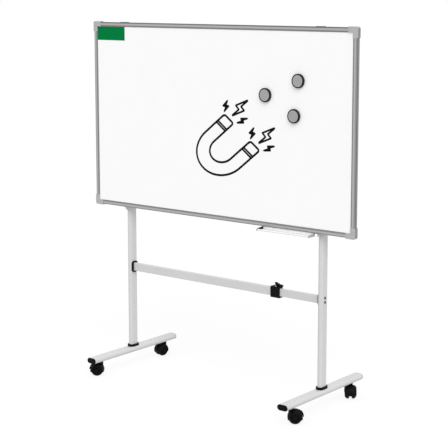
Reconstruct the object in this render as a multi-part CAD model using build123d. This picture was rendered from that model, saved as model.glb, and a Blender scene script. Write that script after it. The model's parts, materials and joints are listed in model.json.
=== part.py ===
from build123d import *
import os
from math import cos, radians, sin

# A mobile whiteboard: an aluminium-framed magnetic board on two posts, joined by a crossbar
# that telescopes, each post on a flat-oval foot with two twin-wheel castors.
# Millimetres. X runs to the right seen from the front, Y away from the user, Z up.
# The origin is on the floor, halfway between the posts and halfway along the feet.

# Board
board_width = 1700.0
board_height = 1000.0
board_bottom = 900.0
sheet_thickness = 0.6
core_thickness = 12.8
panel_play = 0.5

# Frame rail section, measured inwards from the outer edge and back from the front face
rail_face = 24.0
rail_wall = 1.5
rail_edge_radius = 4.0
rail_bevel_width = 6.0
rail_bevel_drop = 2.5
lip_depth = 4.0
panel_groove = 12.0
flange_reach = 20.0
flange_thickness = 2.0
flange_setback = 2.0
groove_mouth = 3.0
groove_width = 6.0
groove_lip = 1.5
groove_depth = 4.0
groove_centre = 6.5

# Corner caps
cap_arm = 50.0
cap_proud = 4.0
cap_front_proud = 1.0
cap_radius = 11.0
cap_edge = 1.0
tenon_length = 18.0
tenon_play = 0.1

# Posts
post_pitch = 1270.0
post_width = 28.0
post_depth = 56.0
post_spare = 25.0
tube_wall = 2.0
post_plate = 8.0
plug_play = 0.2
plug_depth = 20.0
plug_head = 4.0
plug_edge = 1.5

# Feet
foot_length = 660.0
foot_width = 60.0
foot_height = 30.0
foot_bolt_spacing = 30.0

# Collars at the joints of the posts
collar_rim = 6.0
collar_height = 9.0
saddle_height = 62.0
saddle_depth = 36.0
saddle_thickness = 4.0
saddle_corner = 14.0

# Crossbar
crossbar_height = 562.0
outer_bar_height = 44.0
outer_bar_depth = 20.0
bar_wall = 1.5
bar_play = 0.5
bar_corner = 3.0
bar_plate = 6.0
inner_bar_reach = 430.0
bar_screw_spacing = 22.0

# Crossbar clamp
clamp_centre = 356.0
clamp_length = 48.0
clamp_height = 58.0
clamp_depth = 34.0
clamp_corner = 5.0
clamp_play = 0.3
clamp_overlap = 34.0
clamp_slot = 3.0
ear_thickness = 8.0
ear_radius = 8.0
ear_rise = 3.0
clamp_pin_radius = 3.0
lever_pin_offset = 4.0
lever_width = 15.0
lever_side_play = 0.5
lever_length = 30.0
lever_thickness = 7.0
lever_cam_radius = 6.0
lever_belly = 1.0
lever_tip = 2.0
lever_crown = 1.5
lever_crown_place = 12.0
lever_thumb_rise = 17.0
lever_thumb_back = 11.0
lever_thumb_tip = 3.0
lever_back_angle = 150.0

# Bolts
bolt_radius = 4.0
bolt_play = 0.1
bolt_head_radius = 7.0
bolt_head_height = 4.0

# Brackets that carry the board on the posts
bracket_play = 0.3
bracket_wall = 4.7
bracket_pad_width = 40.0
lower_bracket_height = 50.0
upper_bracket_height = 45.0
upper_bracket_drop = 302.0
strap_width = 45.0
strap_thickness = 3.0
hook_thickness = 2.0
hook_reach = 19.0
shelf_width = 34.0
shelf_reach = 11.0
shelf_thickness = 3.5
rib_width = 10.0
rib_height = 14.0
boss_radius = 9.0
boss_length = 10.0

# Clamping knobs
knob_play = 1.0
knob_core_radius = 15.0
knob_lobe_radius = 6.5
knob_lobes = 5
knob_thickness = 14.0
knob_hub_radius = 9.5
knob_hub_length = 4.0
stud_radius = 4.0
stud_play = 0.08

# Pen tray
tray_length = 316.0
tray_centre = 460.0
tray_reach = 46.0
tray_drop = 15.0
tray_lip = 9.0
tray_wall = 1.8
tray_bend = 4.0
tray_cap_thickness = 3.0
tray_cap_rim = 1.0
tray_cap_shoulder = 8.0
tray_play = 0.3

# Magnets, each centre measured from the middle of the board
magnet_radius = 35.0
magnet_thickness = 13.0
magnet_edge = 1.6
magnet_places = {
    "left_magnet": (318.0, 159.0),
    "right_magnet": (517.0, 237.0),
    "lower_magnet": (493.0, 65.0),
}

# Castors
castor_head = 10.0
castor_inset = 70.0
castor_trail = 20.0
wheel_radius = 32.5
wheel_width = 22.0
wheel_edge = 2.5
wheel_gap = 16.0
wheel_side_play = 0.5
axle_radius = 4.0
axle_play = 0.05
axle_cover = 4.5
hood_clearance = 1.0
hood_thickness = 4.0
web_lift = 20.0
web_bite = 1.0
hood_start = -18.0
hood_end = 198.0
stem_radius = 5.5
stem_play = 0.08
stem_flange_radius = 11.0
stem_flange = 1.7
stem_into_foot = 22.0
stem_into_hood = 38.0
stem_end_play = 1.0
hood_neck_radius = 13.0
hood_neck_play = 0.5
hood_neck_root = 10.0
pedal_width = 22.0
pedal_shank_width = 8.6
pedal_shank_play = 0.3
pedal_thickness = 4.0
pedal_rise = 0.8
pedal_pivot_reach = 26.0
pedal_pivot_angle = 50.0
pedal_pin_radius = 2.0
pedal_low_angle = 5.0
pedal_high_angle = 45.0
shank_low_angle = 38.0
shank_high_angle = 62.0
shank_reach = 21.0
pedal_slot_low_angle = 26.0
pedal_slot_high_angle = 78.0
pedal_slot_depth = 4.0

# Where each castor's wheels trail at rest, in degrees from +X
castor_headings = {
    "left_front": 217.0,
    "left_rear": 257.0,
    "right_front": 37.0,
    "right_rear": 307.0,
}

# Heights and places that follow from the sizes above
post_half = post_pitch / 2
hood_inner = wheel_radius + hood_clearance
hood_outer = hood_inner + hood_thickness
castor_height = wheel_radius + hood_outer + castor_head
foot_top = castor_height + foot_height
board_top = board_bottom + board_height
board_middle = board_bottom + board_height / 2
post_top = board_top - upper_bracket_drop + upper_bracket_height + post_spare
panel_depth = 2 * sheet_thickness + core_thickness
rail_depth = lip_depth + panel_depth + flange_thickness + flange_setback
board_back = -(post_depth / 2 + bracket_play + bracket_wall + bracket_play)
board_front = board_back - rail_depth
sheet_front = board_front + lip_depth
chamber_start = groove_depth + rail_wall
chamber_end = panel_groove - rail_wall
bracket_front = board_back + bracket_play
bracket_rear = post_depth / 2 + bracket_play + bracket_wall
wheel_reach = wheel_gap / 2 + wheel_width
web_half = wheel_gap / 2 - wheel_side_play
clamp_left = clamp_centre - clamp_length / 2
clamp_right = clamp_centre + clamp_length / 2
clamp_top = crossbar_height + clamp_height / 2
outer_bar_end = clamp_left + clamp_overlap
inner_bar_height = outer_bar_height - 2 * (bar_wall + bar_play)
inner_bar_depth = outer_bar_depth - 2 * (bar_wall + bar_play)
lever_pin_x = clamp_centre + lever_pin_offset
lever_pin_z = clamp_top + ear_rise


def block(x_low, x_high, y_low, y_high, z_low, z_high):
    size = (x_high - x_low, y_high - y_low, z_high - z_low)
    middle = ((x_low + x_high) / 2, (y_low + y_high) / 2, (z_low + z_high) / 2)
    return Pos(*middle) * Box(*size)


def rod(start, direction, radius, length):
    return extrude(Plane(start, z_dir=direction) * Circle(radius), length)


def oval(long_side, short_side, turned=False):
    return SlotOverall(long_side, short_side, rotation=90 if turned else 0)


def post_oval(grown):
    return oval(post_depth + 2 * grown, post_width + 2 * grown, turned=True)


def write(name, shape):
    export_step(shape, f"parts/{name}.step")


# Board frame
def rail_section():
    face = rail_face
    depth = rail_depth
    mouth_front = groove_centre - groove_mouth / 2
    mouth_back = groove_centre + groove_mouth / 2
    wide_front = groove_centre - groove_width / 2
    wide_back = groove_centre + groove_width / 2
    flange_front = lip_depth + panel_depth
    flange_back = flange_front + flange_thickness
    outer_side = Polyline(
        (0, depth),
        (0, mouth_back),
        (groove_lip, mouth_back),
        (groove_lip, wide_back),
        (groove_depth, wide_back),
        (groove_depth, wide_front),
        (groove_lip, wide_front),
        (groove_lip, mouth_front),
        (0, mouth_front),
        (0, rail_edge_radius),
    )
    front_edge = RadiusArc((0, rail_edge_radius), (rail_edge_radius, 0), -rail_edge_radius)
    inner_side = Polyline(
        (rail_edge_radius, 0),
        (face - rail_bevel_width, 0),
        (face, rail_bevel_drop),
        (face, lip_depth),
        (panel_groove, lip_depth),
        (panel_groove, flange_front),
        (flange_reach, flange_front),
        (flange_reach, flange_back),
        (panel_groove, flange_back),
        (panel_groove, depth),
        (0, depth),
    )
    outline = make_face(outer_side + front_edge + inner_side)
    chamber = Rectangle(chamber_end - chamber_start, depth - 2 * rail_wall)
    middle = ((chamber_start + chamber_end) / 2, depth / 2)
    return outline - Pos(*middle) * chamber


def rail(corner, inward, along, length):
    return extrude(Plane(corner, x_dir=inward, z_dir=along) * rail_section(), length)


def frame_rails():
    end = board_width / 2 - cap_arm
    half = board_width / 2
    wide = board_width - 2 * cap_arm
    tall = board_height - 2 * cap_arm
    low = board_bottom + cap_arm
    high = board_top - cap_arm
    return {
        "top_rail": rail((-end, board_front, board_top), (0, 0, -1), (1, 0, 0), wide),
        "bottom_rail": rail((end, board_front, board_bottom), (0, 0, 1), (-1, 0, 0), wide),
        "left_rail": rail((-half, board_front, low), (1, 0, 0), (0, 0, 1), tall),
        "right_rail": rail((half, board_front, high), (-1, 0, 0), (0, 0, -1), tall),
    }


# One cap: an L that closes the corner, grooved for the panel, with a tenon up each rail
def corner_cap():
    left = -board_width / 2
    low = board_bottom
    front = board_front - cap_front_proud
    arm = Plane((left, front, low), x_dir=(1, 0, 0), z_dir=(0, -1, 0))
    reach = cap_arm + cap_proud
    width = rail_face + cap_proud
    middle = (reach - 2 * cap_proud) / 2
    bar_middle = (width - 2 * cap_proud) / 2
    ell = Pos(middle, bar_middle) * Rectangle(reach, width)
    ell += Pos(bar_middle, middle) * Rectangle(width, reach)
    corner = ell.vertices().sort_by(lambda point: point.X + point.Y)[0]
    ell = fillet(corner, cap_radius)
    shape = extrude(arm * ell, -(rail_depth + cap_front_proud))
    front_edges = shape.edges().group_by(Axis.Y)[0]
    outer_edges = [edge for edge in front_edges if is_outer_cap_edge(edge, left, low)]
    shape = chamfer(outer_edges, cap_edge)
    shape -= block(
        left + panel_groove,
        left + reach,
        board_front + lip_depth,
        board_front + lip_depth + panel_depth,
        low + panel_groove,
        low + reach,
    )
    thin = (chamber_start + tenon_play, chamber_end - tenon_play)
    deep = (board_front + rail_wall + tenon_play, board_back - rail_wall - tenon_play)
    seat = cap_arm - rail_wall
    tip = cap_arm + tenon_length
    shape += block(left + seat, left + tip, *deep, low + thin[0], low + thin[1])
    shape += block(left + thin[0], left + thin[1], *deep, low + seat, low + tip)
    return shape


def is_outer_cap_edge(edge, left, low):
    centre = edge.center()
    return centre.X < left + rail_wall or centre.Z < low + rail_wall


def corner_caps():
    first = corner_cap()
    lower = [first, mirror(first, Plane.YZ)]
    upper = [mirror(cap, Plane.XY.offset(board_middle)) for cap in lower]
    return Compound(children=lower + upper)


def panel_layer(front, thickness):
    half = board_width / 2 - panel_groove - panel_play
    low = board_bottom + panel_groove + panel_play
    high = board_top - panel_groove - panel_play
    return block(-half, half, front, front + thickness, low, high)


def panel_layers():
    core_front = sheet_front + sheet_thickness
    back_front = core_front + core_thickness
    return {
        "writing_surface": panel_layer(sheet_front, sheet_thickness),
        "board_core": panel_layer(core_front, core_thickness),
        "backing_sheet": panel_layer(back_front, sheet_thickness),
    }


# Posts and feet
def bolt(length):
    shank = Pos(0, 0, length / 2) * Cylinder(bolt_radius, length)
    head = Pos(0, 0, -bolt_head_height / 2) * Cylinder(bolt_head_radius, bolt_head_height)
    return shank + head


def bar_screw_heights():
    half = bar_screw_spacing / 2
    return (crossbar_height - half, crossbar_height + half)


def foot_bolt_places():
    return (-foot_bolt_spacing / 2, foot_bolt_spacing / 2)


def post(side):
    x = side * post_half
    inner = post_oval(-tube_wall)
    tube = extrude(post_oval(0) - inner, post_top - foot_top)
    tube += extrude(inner, post_plate)
    tube = Pos(x, 0, foot_top) * tube
    hole = bolt_radius + bolt_play
    for y in foot_bolt_places():
        tube -= rod((x, y, foot_top), (0, 0, 1), hole, post_plate)
    for z in bar_screw_heights():
        tube -= rod((x - post_width, 0, z), (1, 0, 0), hole, 2 * post_width)
    return tube


def post_cap(side):
    head = extrude(post_oval(0), plug_head)
    head = chamfer(head.edges().group_by(Axis.Z)[-1], plug_edge)
    plug = extrude(post_oval(-tube_wall - plug_play), -plug_depth)
    return Pos(side * post_half, 0, post_top) * (head + plug)


def foot_section(grown):
    return oval(foot_width + 2 * grown, foot_height + 2 * grown)


def castor_places(side):
    reach = foot_length / 2 - castor_inset
    return {"front": (side * post_half, -reach), "rear": (side * post_half, reach)}


def foot(side):
    x = side * post_half
    start = Plane((x, -foot_length / 2, foot_top - foot_height / 2), x_dir=(1, 0, 0), z_dir=(0, 1, 0))
    tube = extrude(start * (foot_section(0) - foot_section(-tube_wall)), foot_length)
    hole = bolt_radius + bolt_play
    for y in foot_bolt_places():
        tube -= rod((x, y, castor_height), (0, 0, 1), hole, foot_height)
    for place in castor_places(side).values():
        hole = stem_radius + bolt_play
        tube -= rod((*place, castor_height), (0, 0, 1), hole, tube_wall)
    return tube


def foot_plug(side, end):
    x = side * post_half
    outwards = (0, end, 0)
    face = Plane((x, end * foot_length / 2, foot_top - foot_height / 2), x_dir=(1, 0, 0), z_dir=outwards)
    head = extrude(face * foot_section(0), plug_head)
    rim = head.edges().group_by(Axis.Y)[-1 if end > 0 else 0]
    head = chamfer(rim, plug_edge)
    return head + extrude(face * foot_section(-tube_wall - plug_play), -plug_depth)


def leg_bolts(side):
    x = side * post_half
    foot_bolt = bolt(foot_height + post_plate)
    bar_bolt = bolt(post_width + saddle_thickness + bar_plate - plug_play)
    bolts = [Pos(x, y, castor_height) * foot_bolt for y in foot_bolt_places()]
    turn = -90 * side
    outer_face = side * (post_half + post_width / 2)
    for z in bar_screw_heights():
        bolts.append(Pos(outer_face, 0, z) * Rot(0, turn, 0) * bar_bolt)
    return Compound(children=bolts)


# A ring round the post's base, and a saddle plate round the crossbar's end
def post_collars(side, bar_height, bar_depth):
    ring = extrude(post_oval(collar_rim) - post_oval(bracket_play), collar_height)
    ring = Pos(side * post_half, 0, foot_top) * ring
    inner_face = side * (post_half - post_width / 2)
    face = Plane((inner_face, 0, crossbar_height), x_dir=(0, 1, 0), z_dir=(-side, 0, 0))
    hole = RectangleRounded(bar_depth + 2 * plug_play, bar_height + 2 * plug_play, bar_corner)
    plate = RectangleRounded(saddle_depth, saddle_height, saddle_corner)
    plate = extrude(face * (plate - hole), saddle_thickness)
    return Compound(children=[ring, plate])


# Crossbar
def bar_tube(x_start, x_end, height, depth, plate_at_start):
    length = x_end - x_start
    face = Plane((x_start, 0, crossbar_height), x_dir=(0, 1, 0), z_dir=(1, 0, 0))
    outside = RectangleRounded(depth, height, bar_corner)
    inside = RectangleRounded(depth - 2 * bar_wall, height - 2 * bar_wall, bar_corner - bar_wall)
    tube = extrude(face * (outside - inside), length)
    plate_face = face if plate_at_start else face.offset(length - bar_plate)
    tube += extrude(plate_face * inside, bar_plate)
    plate_x = x_start if plate_at_start else x_end - bar_plate
    for z in bar_screw_heights():
        tube -= rod((plate_x, 0, z), (1, 0, 0), bolt_radius + bolt_play, bar_plate)
    return tube


def crossbar_outer_tube():
    start = -post_half + post_width / 2
    return bar_tube(start, outer_bar_end, outer_bar_height, outer_bar_depth, True)


def crossbar_inner_tube():
    end = post_half - post_width / 2
    return bar_tube(end - inner_bar_reach, end, inner_bar_height, inner_bar_depth, False)


# A split sleeve that squeezes the tubes together, with two ears for the cam lever's pin
def clamp_sleeve():
    face = Plane((clamp_left, 0, crossbar_height), x_dir=(0, 1, 0), z_dir=(1, 0, 0))
    outside = RectangleRounded(clamp_depth, clamp_height, clamp_corner)
    shape = extrude(face * outside, clamp_length)
    step = outer_bar_end - clamp_left + clamp_play
    wide = RectangleRounded(outer_bar_depth + 2 * clamp_play, outer_bar_height + 2 * clamp_play, bar_corner)
    narrow = RectangleRounded(inner_bar_depth + 2 * clamp_play, inner_bar_height + 2 * clamp_play, bar_corner)
    for sign in (-1, 1):
        near = lever_width / 2 + lever_side_play
        ear_face = Plane((lever_pin_x, sign * near, lever_pin_z), x_dir=(1, 0, 0), z_dir=(0, sign, 0))
        root_drop = ear_rise + ear_radius
        ear = extrude(ear_face * Circle(ear_radius), ear_thickness)
        ear += block(
            lever_pin_x - ear_radius,
            lever_pin_x + ear_radius,
            min(sign * near, sign * (near + ear_thickness)),
            max(sign * near, sign * (near + ear_thickness)),
            lever_pin_z - root_drop,
            lever_pin_z,
        )
        shape += ear
    shape -= extrude(face * wide, step)
    shape -= extrude(face * narrow, clamp_length)
    shape -= block(
        clamp_left,
        clamp_right,
        -clamp_slot / 2,
        clamp_slot / 2,
        crossbar_height - clamp_height / 2,
        crossbar_height,
    )
    pocket = lever_cam_radius + lever_side_play
    pocket_half = lever_width / 2 + lever_side_play
    shape -= extrude(
        Plane((lever_pin_x, -pocket_half, lever_pin_z), x_dir=(1, 0, 0), z_dir=(0, 1, 0)) * Circle(pocket),
        2 * pocket_half,
    )
    hole_reach = pocket_half + ear_thickness
    hole_radius = clamp_pin_radius + stud_play
    return shape - rod((lever_pin_x, -hole_reach, lever_pin_z), (0, 1, 0), hole_radius, 2 * hole_reach)


def clamp_pin():
    reach = lever_width / 2 + lever_side_play + ear_thickness
    return rod((lever_pin_x, -reach, lever_pin_z), (0, 1, 0), clamp_pin_radius, 2 * reach)


# The lever lies along the bar: a cam round its pin, a tail to the right and a raised thumb tip
def clamp_lever():
    start = Plane((lever_pin_x, lever_width / 2, lever_pin_z), x_dir=(1, 0, 0), z_dir=(0, -1, 0))
    half = lever_cam_radius
    low = half - lever_thickness
    tail = make_face(
        Polyline(
            (0, low),
            (lever_length / 2, low + lever_belly),
            (lever_length, low - lever_tip),
            (lever_length + lever_tip, low + lever_tip),
            (lever_length, half),
            (lever_crown_place, half + lever_crown),
            (-lever_thumb_back, lever_thumb_rise),
            (-lever_thumb_back - lever_thumb_tip, lever_thumb_rise - lever_thumb_tip),
            polar(half, lever_back_angle),
            (0, low),
        )
    )
    side_view = tail + Circle(lever_cam_radius)
    shape = extrude(start * side_view, lever_width)
    hole_start = (lever_pin_x, -lever_width, lever_pin_z)
    return shape - rod(hole_start, (0, 1, 0), clamp_pin_radius + stud_play, 2 * lever_width)


# Brackets: a ring that slides on its post, a pad against the frame and a boss for the knob
def bracket_ring(side, low, height):
    x = side * post_half
    half_pad = bracket_pad_width / 2
    ring = extrude(post_oval(bracket_play + bracket_wall), height)
    ring = Pos(x, 0, low) * ring
    ring += block(x - half_pad, x + half_pad, bracket_front, 0, low, low + height)
    boss_middle = low + height / 2
    ring += rod((x, 0, boss_middle), (0, 1, 0), boss_radius, bracket_rear + boss_length)
    return ring


def bore_bracket(shape, side, low, height):
    x = side * post_half
    shape -= Pos(x, 0, low) * extrude(post_oval(bracket_play), height)
    boss_middle = low + height / 2
    stud_hole = stud_radius + stud_play
    return shape - rod((x, 0, boss_middle), (0, 1, 0), stud_hole, bracket_rear + boss_length)


def lower_bracket_low():
    return board_bottom - bracket_play - shelf_thickness


def upper_bracket_low():
    return board_top - upper_bracket_drop


def lower_bracket(side):
    x = side * post_half
    low = lower_bracket_low()
    front = board_back - shelf_reach
    shape = bracket_ring(side, low, lower_bracket_height)
    half_shelf = shelf_width / 2
    shape += block(x - half_shelf, x + half_shelf, front, bracket_front, low, low + shelf_thickness)
    half_rib = rib_width / 2
    rib_back = -post_depth / 2 - bracket_play
    shape += block(x - half_rib, x + half_rib, front, rib_back, low - rib_height, low)
    return bore_bracket(shape, side, low, lower_bracket_height)


def upper_bracket(side):
    x = side * post_half
    low = upper_bracket_low()
    half_strap = strap_width / 2
    hook_low = board_top + bracket_play
    hook_top = hook_low + hook_thickness
    strap_back = bracket_front + strap_thickness
    shape = bracket_ring(side, low, upper_bracket_height)
    shape += block(x - half_strap, x + half_strap, bracket_front, strap_back, low, hook_top)
    hook_front = board_back - hook_reach
    shape += block(x - half_strap, x + half_strap, hook_front, strap_back, hook_low, hook_top)
    return bore_bracket(shape, side, low, upper_bracket_height)


def knob(side, boss_middle):
    face_y = bracket_rear + boss_length + knob_play
    star = Circle(knob_core_radius)
    for place in PolarLocations(knob_core_radius, knob_lobes):
        star += place * Circle(knob_lobe_radius)
    grip = extrude(star, knob_thickness)
    hub = Pos(0, 0, -knob_hub_length) * extrude(Circle(knob_hub_radius), knob_hub_length)
    tip_y = post_depth / 2 + bracket_play
    stud_length = face_y + knob_hub_length - tip_y
    stud = Pos(0, 0, -stud_length) * extrude(Circle(stud_radius), stud_length)
    place = Plane((side * post_half, face_y + knob_hub_length, boss_middle), x_dir=(1, 0, 0), z_dir=(0, 1, 0))
    return place * (grip + hub + stud)


# Pen tray: an extruded trough whose bead slides in the groove under the bottom rail
def tray_section():
    wall_middle = groove_centre
    near = wall_middle + tray_wall / 2
    far = wall_middle - tray_wall / 2
    bead_half = groove_width / 2 - tray_play
    bead_low = groove_lip + tray_play
    bead_high = groove_depth - tray_play
    front = -tray_reach
    neck = Polyline(
        (near, -tray_drop),
        (near, bead_low),
        (wall_middle + bead_half, bead_low),
        (wall_middle + bead_half, bead_high),
        (wall_middle - bead_half, bead_high),
        (wall_middle - bead_half, bead_low),
        (far, bead_low),
        (far, tray_wall - tray_drop),
        (front + tray_bend, tray_wall - tray_drop),
    )
    inner_bend = RadiusArc(
        (front + tray_bend, tray_wall - tray_drop),
        (front + tray_wall, tray_bend - tray_drop),
        tray_bend - tray_wall,
    )
    lip = Polyline(
        (front + tray_wall, tray_bend - tray_drop),
        (front + tray_wall, tray_lip - tray_drop),
        (front, tray_lip - tray_drop),
        (front, tray_bend - tray_drop),
    )
    outer_bend = RadiusArc((front, tray_bend - tray_drop), (front + tray_bend, -tray_drop), -tray_bend)
    floor = Line((front + tray_bend, -tray_drop), (near, -tray_drop))
    return make_face(neck + inner_bend + lip + outer_bend + floor)


def tray_plane(x):
    return Plane((x, board_front, board_bottom), x_dir=(0, 1, 0), z_dir=(1, 0, 0))


def pen_tray():
    start = tray_centre - tray_length / 2 + tray_cap_thickness
    return extrude(tray_plane(start) * tray_section(), tray_length - 2 * tray_cap_thickness)


def tray_end_caps():
    low = -tray_drop - tray_cap_rim
    high = -tray_play
    front = -tray_reach - tray_cap_rim
    back = groove_centre + tray_wall / 2 + tray_cap_rim / 2
    outline = Polyline(
        (back, low),
        (back, high),
        (back - tray_cap_shoulder, high),
        (front, tray_lip - tray_drop + tray_cap_rim),
        (front, low),
        (back, low),
    )
    plate = extrude(make_face(outline), tray_cap_thickness)
    ends = (tray_centre - tray_length / 2, tray_centre + tray_length / 2 - tray_cap_thickness)
    return Compound(children=[tray_plane(x) * plate for x in ends])


def magnet(x, z):
    face = Plane((x, sheet_front, board_middle + z), x_dir=(1, 0, 0), z_dir=(0, -1, 0))
    puck = extrude(Circle(magnet_radius), magnet_thickness)
    puck = chamfer(puck.edges().group_by(Axis.Z)[-1], magnet_edge)
    return face * puck


# Castors, made with the swivel axis on Z and the wheels trailing along +X
def side_plane():
    return Plane((castor_trail, 0, wheel_radius), x_dir=(1, 0, 0), z_dir=(0, -1, 0))


def polar(reach, angle):
    return (reach * cos(radians(angle)), reach * sin(radians(angle)))


def ring_sector(inner, outer, low_angle, high_angle):
    middle = (low_angle + high_angle) / 2
    edges = ThreePointArc(polar(outer, low_angle), polar(outer, middle), polar(outer, high_angle))
    edges += Line(polar(outer, high_angle), polar(inner, high_angle))
    edges += ThreePointArc(polar(inner, high_angle), polar(inner, middle), polar(inner, low_angle))
    edges += Line(polar(inner, low_angle), polar(outer, low_angle))
    return make_face(edges)


def across(sketch, half_width):
    return extrude(side_plane().offset(-half_width) * sketch, 2 * half_width)


def castor_hood():
    fender = across(ring_sector(hood_inner, hood_outer, hood_start, hood_end), wheel_reach)
    web = Circle(hood_inner + web_bite) - Pos(0, -wheel_radius) * Rectangle(2 * wheel_radius, 2 * web_lift)
    shape = fender + across(web, web_half)
    neck_low = wheel_radius + hood_neck_root
    neck_top = castor_height - stem_flange - hood_neck_play
    shape += rod((0, 0, neck_low), (0, 0, 1), hood_neck_radius, neck_top - neck_low)
    for sign in (-1, 1):
        start = (castor_trail, sign * web_half, wheel_radius)
        shape -= rod(start, (0, sign, 0), hood_inner, wheel_width + 2 * wheel_side_play)
    slot_half = pedal_shank_width / 2 + pedal_shank_play
    slot_floor = shank_reach - pedal_slot_depth
    slot_top = hood_outer + pedal_thickness
    slot = ring_sector(slot_floor, slot_top, pedal_slot_low_angle, pedal_slot_high_angle)
    shape -= across(slot, slot_half)
    shape -= across(Circle(axle_radius + axle_play), web_half)
    pivot = Pos(*polar(pedal_pivot_reach, pedal_pivot_angle)) * Circle(pedal_pin_radius + stem_play)
    shape -= across(pivot, web_half)
    stem_low = castor_height - stem_into_hood
    return shape - rod((0, 0, stem_low), (0, 0, 1), stem_radius + stem_play, stem_into_hood)


def castor_stem():
    low = castor_height - stem_into_hood + stem_end_play
    stem = rod((0, 0, low), (0, 0, 1), stem_radius, castor_height + stem_into_foot - low)
    return stem + rod((0, 0, castor_height - stem_flange), (0, 0, 1), stem_flange_radius, stem_flange)


def castor_axle():
    return across(Circle(axle_radius), wheel_reach - axle_cover - wheel_side_play)


def castor_wheel(sign):
    inner = wheel_gap / 2
    outer = wheel_reach
    bore = axle_radius + axle_play
    half = Polyline(
        (0, outer - axle_cover),
        (bore, outer - axle_cover),
        (bore, inner),
        (wheel_radius, inner),
        (wheel_radius, outer - wheel_edge),
        (wheel_radius - wheel_edge, outer),
        (0, outer),
        (0, outer - axle_cover),
    )
    wheel = revolve(make_face(half), Axis.Y)
    if sign < 0:
        wheel = mirror(wheel, Plane.XZ)
    return Pos(castor_trail, 0, wheel_radius) * wheel


def castor_pedal():
    inner = hood_outer + pedal_rise
    outer = inner + pedal_thickness
    tongue = across(ring_sector(inner, outer, pedal_low_angle, pedal_high_angle), pedal_width / 2)
    shank = across(ring_sector(shank_reach, outer, shank_low_angle, shank_high_angle), pedal_shank_width / 2)
    pivot = Pos(*polar(pedal_pivot_reach, pedal_pivot_angle)) * Circle(pedal_pin_radius)
    return tongue + shank + across(pivot, web_half)


def write_castors(side, side_name):
    stems = []
    for end_name, (x, y) in castor_places(side).items():
        name = f"{side_name}_{end_name}"
        place = Pos(x, y, 0) * Rot(0, 0, castor_headings[name])
        write(f"{name}_castor_hood", place * castor_hood())
        write(f"{name}_castor_axle", place * castor_axle())
        write(f"{name}_wheel_a", place * castor_wheel(1))
        write(f"{name}_wheel_b", place * castor_wheel(-1))
        write(f"{name}_brake_pedal", place * castor_pedal())
        stems.append(place * castor_stem())
    write(f"{side_name}_castor_stems", Compound(children=stems))


def write_side(side, side_name, bar_height, bar_depth):
    write(f"{side_name}_post", post(side))
    write(f"{side_name}_post_cap", post_cap(side))
    write(f"{side_name}_foot", foot(side))
    write(f"{side_name}_foot_plugs", Compound(children=[foot_plug(side, -1), foot_plug(side, 1)]))
    write(f"{side_name}_leg_bolts", leg_bolts(side))
    write(f"{side_name}_post_collars", post_collars(side, bar_height, bar_depth))
    write(f"{side_name}_lower_bracket", lower_bracket(side))
    write(f"{side_name}_upper_bracket", upper_bracket(side))
    write(f"{side_name}_lower_knob", knob(side, lower_bracket_low() + lower_bracket_height / 2))
    write(f"{side_name}_upper_knob", knob(side, upper_bracket_low() + upper_bracket_height / 2))
    write_castors(side, side_name)


os.makedirs("parts", exist_ok=True)
for rail_name, rail_shape in frame_rails().items():
    write(rail_name, rail_shape)
for layer_name, layer in panel_layers().items():
    write(layer_name, layer)
write("corner_caps", corner_caps())
write_side(-1, "left", outer_bar_height, outer_bar_depth)
write_side(1, "right", inner_bar_height, inner_bar_depth)
write("crossbar_outer_tube", crossbar_outer_tube())
write("crossbar_inner_tube", crossbar_inner_tube())
write("clamp_sleeve", clamp_sleeve())
write("clamp_pin", clamp_pin())
write("clamp_lever", clamp_lever())
write("pen_tray", pen_tray())
write("tray_end_caps", tray_end_caps())
for magnet_name, (magnet_x, magnet_z) in magnet_places.items():
    write(magnet_name, magnet(magnet_x, magnet_z))
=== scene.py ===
import json
import math

import bmesh
import bpy
from mathutils import Matrix, Vector

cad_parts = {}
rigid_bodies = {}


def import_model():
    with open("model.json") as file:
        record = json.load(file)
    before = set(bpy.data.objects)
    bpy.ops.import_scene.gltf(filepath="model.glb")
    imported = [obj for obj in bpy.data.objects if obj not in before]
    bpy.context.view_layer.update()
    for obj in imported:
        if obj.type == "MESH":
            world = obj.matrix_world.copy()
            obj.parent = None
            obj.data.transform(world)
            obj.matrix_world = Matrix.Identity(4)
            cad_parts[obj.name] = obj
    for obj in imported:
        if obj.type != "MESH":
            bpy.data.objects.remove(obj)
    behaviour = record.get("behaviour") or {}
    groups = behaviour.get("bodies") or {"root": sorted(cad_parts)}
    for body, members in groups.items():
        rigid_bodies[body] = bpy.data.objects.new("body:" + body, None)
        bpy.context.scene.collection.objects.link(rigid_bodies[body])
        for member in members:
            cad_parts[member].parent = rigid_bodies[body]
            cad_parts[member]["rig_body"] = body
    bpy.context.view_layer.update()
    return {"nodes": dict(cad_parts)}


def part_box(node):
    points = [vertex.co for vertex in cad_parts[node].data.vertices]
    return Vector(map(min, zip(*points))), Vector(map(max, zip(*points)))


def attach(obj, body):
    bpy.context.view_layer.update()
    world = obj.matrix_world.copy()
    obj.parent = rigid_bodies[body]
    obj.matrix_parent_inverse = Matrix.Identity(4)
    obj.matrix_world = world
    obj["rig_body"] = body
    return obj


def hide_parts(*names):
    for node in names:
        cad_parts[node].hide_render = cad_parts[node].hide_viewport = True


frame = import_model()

mm = 0.001
boardLeft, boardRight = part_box("left_rail")[0].x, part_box("right_rail")[1].x
boardBase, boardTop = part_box("bottom_rail")[0].z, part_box("top_rail")[1].z
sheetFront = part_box("writing_surface")[0].y
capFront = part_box("corner_caps")[0].y
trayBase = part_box("pen_tray")[0].z
print("frame loaded:", len(frame["nodes"]), "nodes")


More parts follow.
